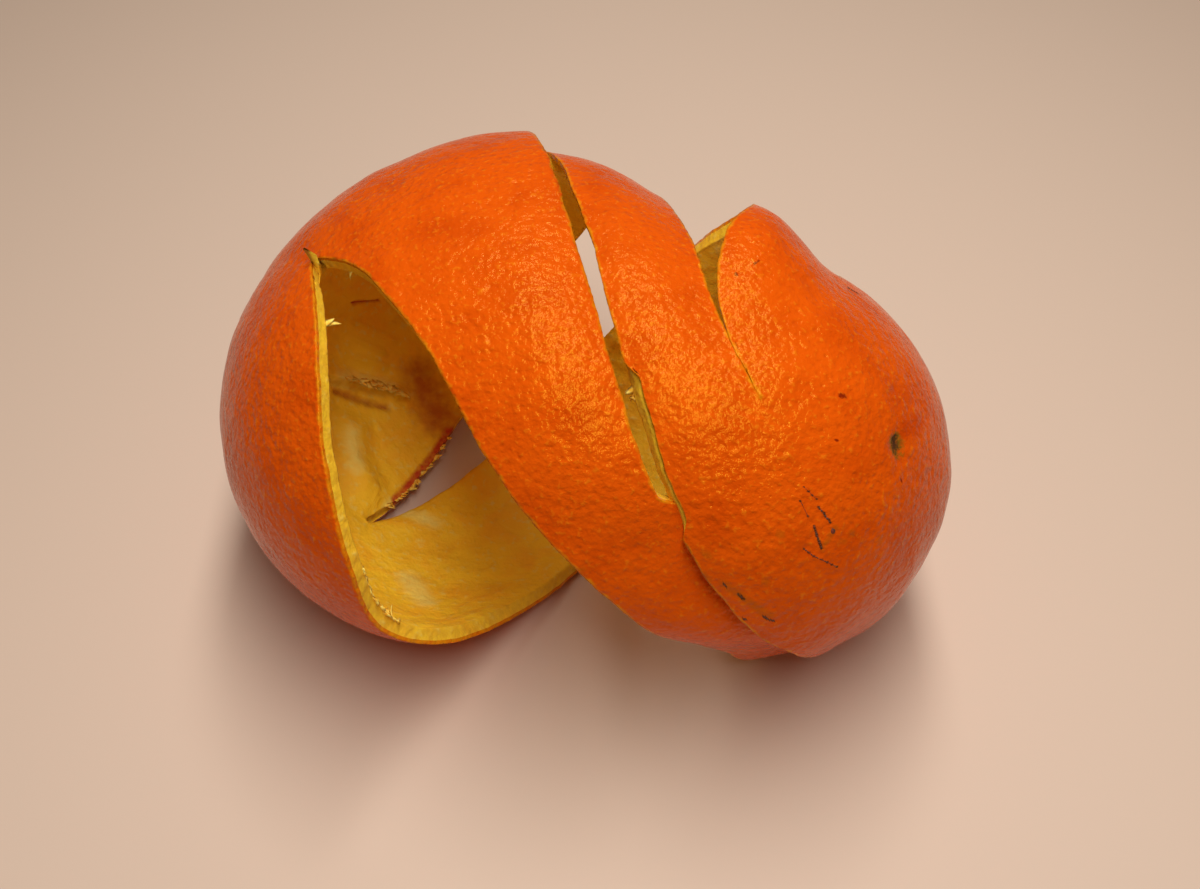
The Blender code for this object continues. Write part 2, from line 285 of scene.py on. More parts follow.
class Cup:
    """round end of the hull, with angles about its pole"""

    def __init__(self, station, pole, winding):
        self.centre = np.array([HULL_X[station], HULL_Y[station], HULL_Z[station]])
        self.pole = on_hull(*pole)
        self.winding = winding
        self.axis = unit(self.pole - self.centre)
        self.side = unit(np.cross(self.axis, (0, 1, 0)))
        self.rise = np.cross(self.axis, self.side)

    def angles(self, points):
        way = unit(points - self.centre)
        around = np.degrees(np.arctan2(way @ self.rise, way @ self.side))
        return around, np.degrees(np.arccos(np.clip(way @ self.axis, -1, 1)))

    def point(self, around, down):
        around, down = np.radians(around)[..., None], np.radians(down)[..., None]
        flat = np.cos(around) * self.side + np.sin(around) * self.rise
        way = np.cos(down) * self.axis + np.sin(down) * flat
        return push_to_hull(self.centre + HALF_DEPTH[-1] * way)[0]

    def rim(self, crotches, t):
        """points of the rim, a fraction t of the way between two crotches, kept near the pole"""
        (start, from_pole), (end, to_pole) = (self.angles(on_hull(*c)) for c in crotches)
        around = start + (end - start) * self.winding % 360 * self.winding * t
        nearness = t ** 3 if to_pole > from_pole else 1 - (1 - t) ** 3
        return self.point(around, from_pole + (to_pole - from_pole) * nearness)

    def ring(self, rim, t):
        """the rim drawn in towards the pole by a fraction t; what stands off the hull dies away"""
        around, down = self.angles(rim)
        proud = np.sum((rim - self.point(around, down)) * unit(rim - self.centre), axis=-1)
        ring = self.point(around, down * (1 - t))
        return ring + (proud * (1 - t) ** 2)[:, None] * unit(ring - self.centre)


BLOSSOM_CUP = Cup(-1, BLOSSOM_POLE, -1)
STEM_CUP = Cup(0, STEM_POLE, 1)


def strip_edges(strip):
    """left and right ends of each row of a strip, from the blossom cup to the stem cup"""
    def along_lip(side, stretch, t):
        start, end = strip[("left", "right")[side]][stretch:stretch + 2]
        return lip_point(strip["lips"][side], start + (end - start) * t)

    left, right = [], []
    for stretch, rows in enumerate(strip["rows"]):
        t = np.arange(rows + (stretch == 2)) / rows
        left.append(along_lip(0, stretch, t) if stretch < 2 else STEM_CUP.rim(strip["cups"][1], t))
        right.append(along_lip(1, stretch - 1, t) if stretch > 0 else BLOSSOM_CUP.rim(strip["cups"][0], t))
    return np.concatenate(left), np.concatenate(right)


def stand_off(name, points, across):
    """how far a strip's skin stands off the hull; across runs 0 to 1 from left to right"""
    turn, x = turn_of(points), points[..., 0]
    if name == "cradle":
        tip = TIP_LIFT * hump(turn, *TIP_SPAN) * np.interp(x, TIP_END, (1, 0)) * ramp(x, *TIP_ROOT)
        return tip - CRADLE_TUCK * hump(turn, *CRADLE_SPAN) * ramp(x, *CRADLE_ROOT)
    if name == "shoulder":
        crest = SHOULDER_LIFT * hump(turn, *SHOULDER_SPAN) * (1 - across * (1 - across))
        return crest - CUP_TUCK * hump(turn, *CUP_SPAN)
    right_side = SASH_LEFT_SHARE + (1 - SASH_LEFT_SHARE) * across ** 1.5
    over = SASH_LIFT * hump(turn, *SASH_SPAN) * right_side * ramp(x, *SASH_ROOT)
    under = ramp(turn, *TUCK_START) * ramp(turn, *TUCK_END)
    inside = SASH_TUCK * under * (across + (1 - across) * ramp(turn, *LEFT_TUCK))
    return over - inside + FRINGE_SAG * hump(turn, *FRINGE_SPAN) * ramp(x, *FRINGE_ROOT)


def strip_grid(name, strip):
    """grid of points of a strip's outer skin"""
    left, right = strip_edges(strip)
    across = np.linspace(0, 1, STRIP_COLUMNS + 1)
    flat = left[:, None] * (1 - across)[:, None] + right[:, None] * across[:, None]
    points, normals = push_to_hull(flat)
    width = np.linalg.norm(right - left, axis=-1)[:, None]
    middle = 1 - np.clip(np.abs(points[..., 0] - CROWN_MIDDLE) / CROWN_REACH, 0, 1) ** 2
    crown = np.minimum(width ** 2 / (8 * HALF_HEIGHT[1]), CROWN_LIMIT) * (4 * across * (1 - across) - 0.5)
    proud = crown * middle + stand_off(name, points, across)
    return points + normals * proud[..., None]


class Cage:
    """vertices and faces of the peel's outer skin"""

    def __init__(self):
        self.points = []
        self.faces = []

    def add(self, points):
        first = len(self.points)
        self.points.extend(points)
        return list(range(first, len(self.points)))

    def fill(self, upper, lower):
        """faces between two rows of vertices; a row of one vertex makes triangles"""
        for k in range(max(len(upper), len(lower)) - 1):
            corners = upper[k:k + 2] if len(upper) > 1 else upper
            corners = corners + (lower[k:k + 2][::-1] if len(lower) > 1 else lower)
            self.faces.append(corners)

    def close_cup(self, cup, rim):
        """rings of faces from a rim in to the cup's pole"""
        rim_points = np.array([self.points[k] for k in rim])
        row = rim
        for k in range(1, CUP_RINGS):
            inner = self.add(cup.ring(rim_points, k / CUP_RINGS))
            self.fill(row + row[:1], inner + inner[:1]) if cup.winding > 0 else \
                self.fill(inner + inner[:1], row + row[:1])
            row = inner
        pole = self.add([cup.pole])
        self.fill(row + row[:1], pole) if cup.winding > 0 else self.fill(pole, row + row[:1])


def build_cage():
    cage = Cage()
    grids = {name: strip_grid(name, strip) for name, strip in STRIPS.items()}
    starts = {name: cage.add(grid[:1, 0]) for name, grid in grids.items()}
    ends = {name: cage.add(grid[-1:, 0]) for name, grid in grids.items()}
    right_neighbour = {"shoulder": "cradle", "cradle": "sash", "sash": "shoulder"}
    left_neighbour = {right: left for left, right in right_neighbour.items()}
    blossom_rim, stem_rim = [], []
    for name, grid in grids.items():
        leaves, joins, _ = np.cumsum(STRIPS[name]["rows"])
        rows = [starts[name]]
        for k in range(1, len(grid) - 1):
            row = [None] * (STRIP_COLUMNS + 1)
            if k == leaves:
                row[-1] = starts[right_neighbour[name]][0]
            if k == joins:
                row[0] = ends[left_neighbour[name]][0]
            rows.append([cage.add([grid[k, c]])[0] if v is None else v for c, v in enumerate(row)])
        rows.append(ends[name])
        for upper, lower in zip(rows, rows[1:]):
            cage.fill(upper, lower)
        blossom_rim += [row[-1] for row in rows[:leaves]]
        stem_rim += [row[0] for row in rows[joins:-1]]
    cage.close_cup(BLOSSOM_CUP, blossom_rim)
    cage.close_cup(STEM_CUP, stem_rim)
    return cage


# ---------------------------------------------------------------- fine surfaces

FINE_LEVEL = 3            # faces of about 0.6 mm
LIP_REACH = 3.0           # how far in from a cut its unevenness is felt
LIP_WAVES = ((6, 1, 0.35), (1.3, 2, 0.14))     # a wander and nicks, as waves_of takes them
LIP_DEPTHS = (0.2, 0.75)  # rings of the zest's edge, below the skin
CUT_DEPTHS = (0.3, 0.52, 0.74, 0.92)   # rings of the pith's cut face, as shares of the thickness
LIP_THINNING = 0.16       # how much thinner the pith is at a cut
CROTCH_REACH = 9.0        # within this of a cut's end the two lips run as one line

# Where the knife leaned: the middle of the stretch, which way along x the lip faces, half its
# length, and how far the zest stands back from the pith's edge, or past it where it is negative
BEVELS = (
    (((40, -15), (50, -17.5), (58, -19.8)), -1, 8, 2.0),
    (((90, -26.8), (104, -30.5), (122, -34)), -1, 9, -2.0),
    (((92, -6.4), (107, -5)), -1, 6, -1.4),
    (((205, -67), (250, -80), (300, -78)), 1, 12, -0.9),
)
TUCKED = ((((20, -5), (31, -12.5)), 1, 8, 3.0),)    # the sash's edge, on under the shoulder
TUCK_REACH = 9.0
BEVEL_FOLD = 3.0          # the layer that stands back gives way over this many times the bevel


def noise_of(points, scale, seed):
    """smooth noise from -1 to 1 with waves of about the scale, in millimetres"""
    offset = Vector((seed * 17.3, seed * 5.9, seed * 11.7))
    return np.array([noise.noise(Vector(p) / scale + offset) for p in points])


def waves_of(points, waves):
    """noises added up, each from the length of its waves in millimetres, its seed and its height"""
    return sum(height * noise_of(points, length, seed) for length, seed, height in waves)


PIT_REACH = 0.6           # from a pit's middle to its rim, as a share of the spacing


def pits_of(points, spacing, seed):
    """0 at scattered pits, rising to 1 between them"""
    offset = Vector((seed * 7.7, seed * 3.1, seed * 13.9))
    away = (noise.voronoi(Vector(p) / spacing + offset)[0][0] for p in points)
    return np.array([min(1, distance / PIT_REACH) for distance in away])


def smooth_mesh(cage, level):
    """the cage rounded by subdivision, as points, normals and faces of four corners"""
    mesh = bpy.data.meshes.new("cage")
    mesh.from_pydata([tuple(p) for p in cage.points], [], cage.faces)
    holder = bpy.data.objects.new("cage", mesh)
    bpy.context.scene.collection.objects.link(holder)
    rounding = holder.modifiers.new("rounding", "SUBSURF")
    rounding.levels = rounding.render_levels = level
    bpy.context.view_layer.update()
    fine = bpy.data.meshes.new_from_object(holder.evaluated_get(bpy.context.evaluated_depsgraph_get()))
    count = len(fine.vertices)
    points, normals = np.empty(3 * count), np.empty(3 * count)
    fine.vertices.foreach_get("co", points)
    fine.vertex_normals.foreach_get("vector", normals)
    corners = np.empty(len(fine.loops), int)
    fine.loops.foreach_get("vertex_index", corners)
    bpy.data.objects.remove(holder)
    for used in (fine, mesh):
        bpy.data.meshes.remove(used)
    return points.reshape(-1, 3), normals.reshape(-1, 3), corners.reshape(-1, 4)


def open_edges(faces):
    """loops of vertices round the holes of a surface, each in the order of its faces"""
    edges = np.concatenate([faces[:, [k, (k + 1) % 4]] for k in range(4)])
    keys = {(a, b) for a, b in edges.tolist()}
    follow = {a: b for a, b in keys if (b, a) not in keys}
    loops = []
    while follow:
        start = min(follow)
        loop = [start]
        step = follow.pop(start)
        while step != start:
            loop.append(step)
            step = follow.pop(step)
        loops.append(loop)
    return loops


def nearest(places, points):
    """for each point the index of the nearest place and the distance to it"""
    tree = kdtree.KDTree(len(places))
    for k, place in enumerate(places):
        tree.insert(place, k)
    tree.balance()
    found = [tree.find(p) for p in points]
    return np.array([f[1] for f in found]), np.array([f[2] for f in found])


class Skin:
    """the peel's smooth outer surface, and what is measured on it, in millimetres"""

    def __init__(self, level):
        self.points, self.normals, self.faces = smooth_mesh(build_cage(), level)
        self.loops = open_edges(self.faces)
        self.lip = lip = np.concatenate(self.loops)
        outward = np.zeros_like(self.points)
        for loop in self.loops:
            along = unit(self.points[np.roll(loop, -1)] - self.points[np.roll(loop, 1)])
            outward[loop] = unit(np.cross(along, self.normals[loop]))
        index, self.from_lip = nearest(self.points[lip], self.points)
        self.lip_outward = outward
        self.outward = outward[lip][index]      # the way out over the nearest lip
        crotches = [on_hull(*end) for strip in STRIPS.values() for cup in strip["cups"] for end in cup]
        from_crotch = nearest(crotches, self.points)[1]
        wander = waves_of(self.points[lip], LIP_WAVES)
        reach = fade(1 - self.from_lip / LIP_REACH) * fade(from_crotch / CROTCH_REACH)
        bevel = self.along_lips(BEVELS)[lip][index]
        growth = self.along_lips(TUCKED)[lip][index] * fade(1 - self.from_lip / TUCK_REACH)
        give = np.clip(1 - self.from_lip / (BEVEL_FOLD * np.maximum(np.abs(bevel), 0.1)), 0, 1) ** 2
        self.stand_back = bevel * give
        moved = growth + reach * wander[index] - np.maximum(self.stand_back, 0)
        self.points = self.points + self.outward * moved[:, None]

    def along_lips(self, stretches):
        """an amount at each point of a lip, from stretches that fade out at both ends"""
        total = np.zeros(len(self.points))
        for places, facing, reach, amount in stretches:
            near = fade(2 * (1 - self.from_line(places)[0] / reach))
            total = total + amount * near * (self.lip_outward[:, 0] * facing > 0)
        return total

    def on_table(self, points):
        """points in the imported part's frame, pressed flat where they would pass the table"""
        placed = points + np.array(HULL_ORIGIN)
        placed[:, 2] = np.maximum(placed[:, 2], 0)
        return placed

    def nearest_to(self, places):
        """indices of the points nearest to places on the hull"""
        return [np.argmin(np.sum((self.points - on_hull(*place)) ** 2, axis=1)) for place in places]

    def from_place(self, place, half_up=1, half_along=1):
        """every point's distance from a place, in the half sizes of an oval that lies along x"""
        centre = self.nearest_to([place])[0]
        normal = self.normals[centre]
        along_x = unit(np.array([1, 0, 0]) - normal * normal[0])
        away = self.points - self.points[centre]
        return np.hypot(away @ np.cross(normal, along_x) / half_up, away @ along_x / half_along)

    def from_line(self, places):
        """every point's distance from a line through places, and its signed distance to the line's right"""
        knots = self.nearest_to(places)
        best = np.full(len(self.points), np.inf)
        side = np.zeros(len(self.points))
        for a, b in zip(knots, knots[1:]):
            run = self.points[b] - self.points[a]
            share = np.clip((self.points - self.points[a]) @ run / (run @ run), 0, 1)
            away = self.points - self.points[a] - share[:, None] * run
            distance = np.linalg.norm(away, axis=1)
            closer = distance < best
            best[closer] = distance[closer]
            side[closer] = (away @ unit(np.cross(run, self.normals[a])))[closer]
        return best, side

    def near(self, places, reach, edge=1):
        """1 on a line through places, fading to 0 at its reach; an edge over 1 widens it"""
        return fade(edge - self.from_line(places)[0] / reach)

    def near_lines(self, lines, widening, edge=1):
        """the same for several lines, each with its half width, which is widened"""
        return np.max([self.near(places, widening * half, edge) for places, half in lines], axis=0)

    def towards_lip(self, count, near_lip, on_rim, fading):
        """a field that grows towards the lips, and has one value on the rim's rings"""
        on_skin = near_lip * fade(1 - self.from_lip / fading)
        return np.append(on_skin, np.full(count - len(on_skin), on_rim))

    def with_rim(self, surface, rings, inside=False):
        """points and faces of a surface and the rings that close its cut edges; the rings lead down
        from an outer surface, or down to an inner one"""
        index = [len(surface) + k * len(self.lip) + np.arange(len(self.lip)) for k in range(len(rings))]
        order = index + [self.lip] if inside else [self.lip] + index
        faces = [self.faces[:, ::-1] if inside else self.faces]
        for upper, lower in zip(order, order[1:]):
            start = 0
            for loop in self.loops:
                a, b = (ring[start:start + len(loop)] for ring in (upper, lower))
                faces.append(np.stack([np.roll(a, -1), a, b, np.roll(b, -1)], -1))
                start += len(loop)
        return np.concatenate([surface] + rings), np.concatenate(faces)


_skins = {}


def skin():
    """the fine skin, made once"""
    level = FINE_LEVEL
    if level not in _skins:
        _skins[level] = Skin(level)
    return _skins[level]


def new_piece(name, points, faces, material, fields=None):
    """a smooth-shaded mesh object with fields of numbers on its points; it rides on the peel's body"""
    mesh = bpy.data.meshes.new(name)
    mesh.from_pydata((points * MM).tolist(), [], [[int(corner) for corner in face] for face in faces])
    for field, values in (fields or {}).items():
        attribute = mesh.attributes.new(field, "FLOAT", "POINT")
        attribute.data.foreach_set("value", np.asarray(values, np.float32))
    mesh.shade_smooth()
    mesh.materials.append(material)
    piece = bpy.data.objects.new(name, mesh)
    bpy.context.scene.collection.objects.link(piece)
    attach(piece, BODY)
    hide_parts(NODE)
    return piece


# ---------------------------------------------------------------- materials

def add_node(tree, kind, inputs=None, **settings):
    """a shader node with its settings, values and links"""
    made = tree.nodes.new("ShaderNode" + kind)
    for name, value in settings.items():
        setattr(made, name, value)
    for socket, value in (inputs or {}).items():
        if isinstance(value, bpy.types.NodeSocket):
            tree.links.new(value, made.inputs[socket])
        else:
            made.inputs[socket].default_value = value
    return made


MIX_A, MIX_B, MIX_OUT = 6, 7, 2      # colour sockets of a Mix node


def laid_over(tree, colour, tones):
    """a colour with tones laid over it one by one, each with its amount from 0 to 1"""
    for amount, tone in tones:
        inputs = {0: amount, MIX_A: colour, MIX_B: opaque(tone)}
        colour = add_node(tree, "Mix", inputs, data_type="RGBA").outputs[MIX_OUT]
    return colour


def new_material(name):
    """a material with a Principled shader, its tree, and object coordinates in millimetres"""
    material = bpy.data.materials.new(name)
    material.use_nodes = True
    tree = material.node_tree
    place = add_node(tree, "TexCoord").outputs["Object"]
    in_mm = add_node(tree, "VectorMath", {0: place, "Scale": 1 / MM}, operation="SCALE")
    return material, tree, tree.nodes["Principled BSDF"], in_mm.outputs[0]


def set_look(tree, shader, colour, roughness, height=None, depth=0):
    """gives a shader its colour, its roughness and, with a height, its bumps of a depth in metres"""
    tree.links.new(colour, shader.inputs["Base Color"])
    shader.inputs["Roughness"].default_value = roughness
    if height:
        bump = add_node(tree, "Bump", {"Height": height, "Distance": depth, "Strength": 1})
        tree.links.new(bump.outputs[0], shader.inputs["Normal"])


# Where a mark sets in and where it is whole, on the sum of its field and a noise about one half
EDGE_FADE = (0.9, 1.35)
SOFT_FADE = (0.65, 1.9)
PATCH_FADE = (0.65, 1.6)


def ragged_tones(tree, place, marks):
    """tones of fields of the mesh, with broken edges: each field's grain is in millimetres"""
    tones = []
    for name, tone, grain, limits in marks:
        field = add_node(tree, "Attribute", attribute_name=name)
        fleck = add_node(tree, "TexNoise", {"Vector": place, "Scale": 1 / grain, "Detail": 3})
        total = add_node(tree, "Math", {0: field.outputs["Fac"], 1: fleck.outputs["Fac"]}, operation="ADD")
        amount = add_node(tree, "MapRange", {0: total.outputs[0], 1: limits[0], 2: limits[1]})
        tones.append((amount.outputs[0], tone))
    return tones


def waxed_zest(colours, sizes):
    """Ripe orange skin under its own wax: a fine worm-like net of domes that each catch a glint"""
    material, tree, shader, place = new_material("waxed_ripe_zest")
    gland = sizes.gland / MM
    pits = add_node(tree, "TexVoronoi", {"Vector": place, "Scale": 1 / gland, "Randomness": 0.9},
                    feature="SMOOTH_F1").outputs["Distance"]
    pit = add_node(tree, "MapRange", {0: pits, 1: 0.08, 2: 0.6, 4: 0.4})
    net = add_node(tree, "TexNoise", {"Vector": place, "Scale": 1.4 / gland, "Detail": 2}).outputs["Fac"]
    fine = add_node(tree, "Math", {0: net, 1: 0.8, 2: pit.outputs[0]}, operation="MULTIPLY_ADD")
    slow = add_node(tree, "TexNoise", {"Vector": place, "Scale": 1 / (2.6 * gland), "Detail": 2})
    height = add_node(tree, "Math", {0: slow.outputs["Fac"], 1: fine.outputs[0]}, operation="ADD")
    clouds = add_node(tree, "TexNoise", {"Vector": place, "Scale": 1 / 9, "Detail": 4})
    deep = add_node(tree, "MapRange", {0: clouds.outputs["Fac"], 1: 0.45, 2: 0.95})
    # Painted shade: the bottoms of the pits are darkened in the deep zest colour.
    pit_shade = add_node(tree, "MapRange", {0: pits, 1: 0.05, 2: 0.35, 3: 0.3, 4: 0})
    # Partly the glands' own paler tone and partly painted glints: the tops of the bump net are lightened in
    # the gland colour.
    gland_and_glint = add_node(tree, "MapRange", {0: net, 1: 0.58, 2: 0.75, 3: 0, 4: 0.45})
    marks = (("edge", colours.lip, 1.6, EDGE_FADE), ("dull", colours.dull, 1.2, SOFT_FADE),
             ("red", colours.zest_deep, 2.5, SOFT_FADE), ("hollow", colours.hollow, 0.8, EDGE_FADE),
             ("speck", colours.speck, 0.5, EDGE_FADE), ("scab", colours.scab, 0.4, EDGE_FADE))
    tones = [(deep.outputs[0], colours.zest_deep), (pit_shade.outputs[0], colours.zest_deep),
             (gland_and_glint.outputs[0], colours.gland)] + ragged_tones(tree, place, marks)
    colour = laid_over(tree, opaque(colours.zest), tones)
    set_look(tree, shader, colour, 0.2, height.outputs[0], 3 * sizes.gland_depth)
    shader.inputs["IOR"].default_value = 1.45
    shader.inputs["Specular IOR Level"].default_value = 0.24
    shader.inputs["Specular Tint"].default_value = (1.0, 0.72, 0.04, 1)
    return material


def juicy_pith(colours):
    """Spongy white layer stained yellow by juice: soft torn flakes with no shine"""
    material, tree, shader, place = new_material("juice_stained_pith")
    sponge = add_node(tree, "TexNoise", {"Vector": place, "Scale": 1 / 1.6, "Detail": 5}).outputs["Fac"]
    layers = add_node(tree, "TexNoise", {"Vector": place, "Scale": 1 / 7, "Detail": 4,
                                         "Distortion": 0.6}).outputs["Fac"]
    deep = add_node(tree, "MapRange", {0: layers, 1: 0.45, 2: 0.75})
    streak = add_node(tree, "MapRange", {0: sponge, 1: 0.56, 2: 0.72, 3: 0, 4: 0.6})
    # Past the cut faces: whitish pith in some patches and painted light in others, then painted shade on
    # the inside, then painted shade in the torn grooves.
    marks = (("cut", colours.cut, 1.5, EDGE_FADE), ("pale_and_lit", colours.fibre, 1.6, PATCH_FADE),
             ("pith_shade", colours.pith_shade, 2.5, PATCH_FADE), ("torn", colours.zest_deep, 1.4, PATCH_FADE))
    tones = [(deep.outputs[0], colours.pith_deep), (streak.outputs[0], colours.fibre)]
    colour = laid_over(tree, opaque(colours.pith), tones + ragged_tones(tree, place, marks))
    height = add_node(tree, "Math", {0: sponge, 1: layers}, operation="ADD")
    set_look(tree, shader, colour, 0.75, height.outputs[0], 0.4 * MM)
    return material


def dried_scab(colours):
    """Corky crust over an old scratch: dark, dry and cracked, with no shine"""
    material, tree, shader, place = new_material("dried_corky_scab")
    cracks = add_node(tree, "TexNoise", {"Vector": place, "Scale": 1 / 0.4, "Detail": 4}).outputs["Fac"]
    amount = add_node(tree, "MapRange", {0: cracks, 1: 0.45, 2: 0.75}).outputs[0]
    colour = laid_over(tree, opaque(colours.scab), [(amount, colours.speck)])
    set_look(tree, shader, colour, 0.7, cracks, 0.1 * MM)
    return material


def torn_fibre(colours):
    """Pulled strands of pith, dried whitish at the tips"""
    material, tree, shader, place = new_material("dried_pith_fibre")
    sponge = add_node(tree, "TexNoise", {"Vector": place, "Scale": 1 / 0.9, "Detail": 4})
    amount = add_node(tree, "MapRange", {0: sponge.outputs["Fac"], 1: 0.4, 2: 0.65}).outputs[0]
    colour = laid_over(tree, opaque(colours.fibre), [(amount, colours.pith_deep)])
    set_look(tree, shader, colour, 0.8)
    return material


# ---------------------------------------------------------------- marks

# Marks on the skin by their kind, each a line of places with its half width. Places are a turn
# angle and x, as on the hull. A line has to be longer than a face, or it isn't drawn.
SCAR = BLOSSOM_POLE       # where the flower was: a dimple with a dark slit in it
SCAR_DIMPLE = (4.2, 0.5)  # radius and depth
SCAR_SLIT = (1.45, 0.95)  # half length and half width
SCAR_SLIT_DEPTH = 0.4
SCAR_RING = (2.4, 2.0)    # the ring of dead skin round it
STEM_DIMPLE = (6.0, 1.6)
STEM_BUTTON = (2.5, 1.2)  # radius, and height over the dimple's floor
SKIN_MARKS = {
    "scab": (
        (((46, 6.7), (43, 8.7)), 0.16), (((41, 9.3), (37, 11.4)), 0.34),
        (((35.4, 11.7), (34.6, 12.1)), 0.62), (((43, 6.2), (39, 7.8)), 0.12),
        (((37, 8.7), (34, 9.5), (31, 9.9)), 0.26), (((31, 6.9), (29, 9.1), (27, 10.9), (25, 12.9)), 0.2),
        (((22, -6.2), (21.4, -5.3)), 0.42), (((19, -3.2), (18, -2.6)), 0.6),
        (((13, 1.3), (12, 2.1), (11, 2.9)), 0.42), (((12, -2.1), (11.6, -1.7)), 0.4),
        (((114, 18.4), (113, 20.6)), 0.35), (((203, 2), (206, 5), (207, 9)), 0.3),),
    "speck": (
        (((57, 12.2), (57, 12.4)), 0.4), (((99, -3.0), (99, -2.8)), 0.5), (((103, 0.1), (103, 0.3)), 0.5),
        (((46, 24.0), (46, 24.2)), 0.5), (((68, 13.3), (68, 13.8)), 0.8),
        (((150, -92), (150, -91.5)), 0.6),),
    "dull": (
        (((34, 15.1), (33.6, 15.5)), 0.9), (((32, 13.5), (32, 13.8)), 0.8),
        (((30, 20.2), (30, 20.6)), 1.0), (((23, 1.0), (23, 1.3)), 0.9), (((29, -8.9), (29, -8.4)), 1.0),
        (((35, 3.0), (35, 3.3)), 0.9), (((22, -11.0), (21, -9.6)), 1.3),
        (((19, -29.1), (19, -28.4)), 0.7), (((22, -6), (18, -2), (13, 2)), 1.3),
        (((36, 12.4), (31, 9.9)), 0.8), (((153, -34.8), (153, -33.4)), 1.1),
        (((188, 12), (190, 16)), 1.4),),
    "red": (
        (((62, 25.5), (66, 28.5)), 2.6),),
}

# The torn inside: a ledge with a crease under it, streaks that fan out from the rim, a slit, a lump
# that stands proud, and a groove along the torn edge; the slit and that groove are painted dark red as
# painted shade. A form is the height or the depth and the reach to each side, and a patch is a line
# and its half width.
LEDGE = ((225, -88.5), (228, -84), (231, -79), (234, -74.5))
LEDGE_FORM = (3.2, 4.5, 0.5)      # height, and how far it reaches above and below
CREASE = ((230, -87.5), (234, -82), (237, -76))
CREASE_FORM = (0.9, 1.1)
STREAKS = (((202, -83.3), (213, -74.7)), ((208, -84), (217, -77)), ((218, -82.7), (223, -75.8)),
           ((198, -80), (206, -72)), ((225, -70), (225, -66)))
STREAK_FORM = (0.9, 1.1)
SLIT = ((194, -82.8), (195, -80.7), (196, -77.6))
SLIT_FORM = (0.8, 0.8)
LUMP = ((248, -84.5), (258, -84), (266, -80.5))
LUMP_FORM = (3.2, 8.0)
TORN_EDGE = ((268, -71), (264, -70.3), (252, -64.5), (244, -60))
TORN_FORM = (0.7, 2.4)
# Patches of painted shade on the inside: the sash's shadow across the torn wall, and the shade in the
# crease under the ledge.
PITH_SHADE_PATCHES = ((((87, -30), (104, -32)), 1.6), (((226, -69), (240, -63)), 4.5), (CREASE, 0.9),
                (((196, -72), (208, -62)), 4.0))
# Paler patches of the inside. The first, fifth and sixth are whitish torn pith; the second, third and
# fourth are painted light, on the lit top of the ledge, as highlights on the lump and over the lit inside
# of the cradle's tip.
PALE_AND_LIT_PATCHES = ((((-64, -66.6), (-53, -62.4)), 2.6), (((224, -87), (227, -82), (230, -77)), 2.2),
                (((249, -84.5), (262, -83)), 2.4), (((112, -4), (125, 0), (138, 2)), 7.0),
                (((16, -69.7), (10, -68.3), (1, -67.4), (-11, -64)), 1.1),
                (((-87, -63.3), (-90, -73)), 1.8))

# Where strands and flakes of pith stand up: the line of their roots, how many there are, their
# length and width, how deep they root as a share of the thickness, and 1 where they point out over
# the edge or -1 where they lie back along the inside
FLAKES = (
    (((12, -68.8), (3, -68), (-5, -66), (-13, -63.5)), 26, 3.4, 2.0, 1.0, -1),
    (((14, -70), (-5, -70.5), (-20, -69)), 14, 3.8, 2.2, 1.02, -1),
    (((102, -76.5), (96, -73.5), (90, -69.5)), 34, 2.8, 1.1, 0.75, 1),
    (((76, -75.9), (76, -74.6)), 4, 2.8, 1.6, 1.0, 1),
    (((-90, -73.6), (-90, -72.2)), 4, 2.6, 1.5, 1.0, 1),
    (TORN_EDGE, 30, 2.0, 1.5, 0.95, 1),
    (LEDGE, 30, 2.6, 2.0, 1.35, 1),
    (((124, -34.7), (111, -32.4), (99, -29.6)), 12, 1.4, 0.8, 0.6, 1),
    (((153, -37), (150, -36)), 4, 2.0, 1.2, 0.5, 1),
    (((63, -21.5), (60, -20.9)), 4, 2.2, 1.4, 1.0, 1),
    (((160, 9), (205, 0), (240, -8)), 16, 1.5, 0.7, 0.9, 1),
)


# ---------------------------------------------------------------- pieces

SKIN_WAVES = ((16, 3, 0.6), (6, 4, 0.4))      # shares of the swell
RAG_WAVES = ((7, 6, 0.7), (2.2, 7, 0.3))      # shares of the rags
PEBBLE_SPACING = 2        # in glands
PEBBLE_MEAN = 0.7         # the height between pits that keeps the skin where it is
BUTTON_EDGE = 3           # how steep the button's edge is
EDGE_TONE = (0.7, 0.75, 1.3)    # how yellow the zest is by a lip and on its edge, and its reach
CUT_TONE = (0.7, 0.62, 1.4)     # the same for the cut pith's colour


def skin_relief(form, sizes):
    """height of the skin over its smooth form"""
    swell = sizes.swell / MM * waves_of(form.points, SKIN_WAVES)
    pebbles = pits_of(form.points, PEBBLE_SPACING * sizes.gland / MM, 5) - PEBBLE_MEAN
    scar = -SCAR_DIMPLE[1] * fade(1 - form.from_place(SCAR) / SCAR_DIMPLE[0])
    scar = scar - SCAR_SLIT_DEPTH * fade(1.6 - form.from_place(SCAR, *SCAR_SLIT))
    from_stem = form.from_place(STEM_POLE)
    stem = -STEM_DIMPLE[1] * fade(1 - from_stem / STEM_DIMPLE[0])
    button = STEM_BUTTON[1] * fade(BUTTON_EDGE * (1 - from_stem / STEM_BUTTON[0]))
    return swell + sizes.gland_depth / MM * pebbles + scar + stem + button


def pith_relief(form, sizes):
    """height of the torn pith over its smooth form, towards the inside"""
    height, above, below = LEDGE_FORM
    away, side = form.from_line(LEDGE)
    relief = sizes.rags / MM * waves_of(form.points, RAG_WAVES)
    relief = relief + height * np.where(side > 0, fade(1 - away / above), fade(1 - away / below))
    forms = [(-1, CREASE, CREASE_FORM)] + [(1, streak, STREAK_FORM) for streak in STREAKS]
    forms += [(-1, SLIT, SLIT_FORM), (1, LUMP, LUMP_FORM), (-1, TORN_EDGE, TORN_FORM)]
    return relief + sum(sign * form.near(line, reach) * tall for sign, line, (tall, reach) in forms)


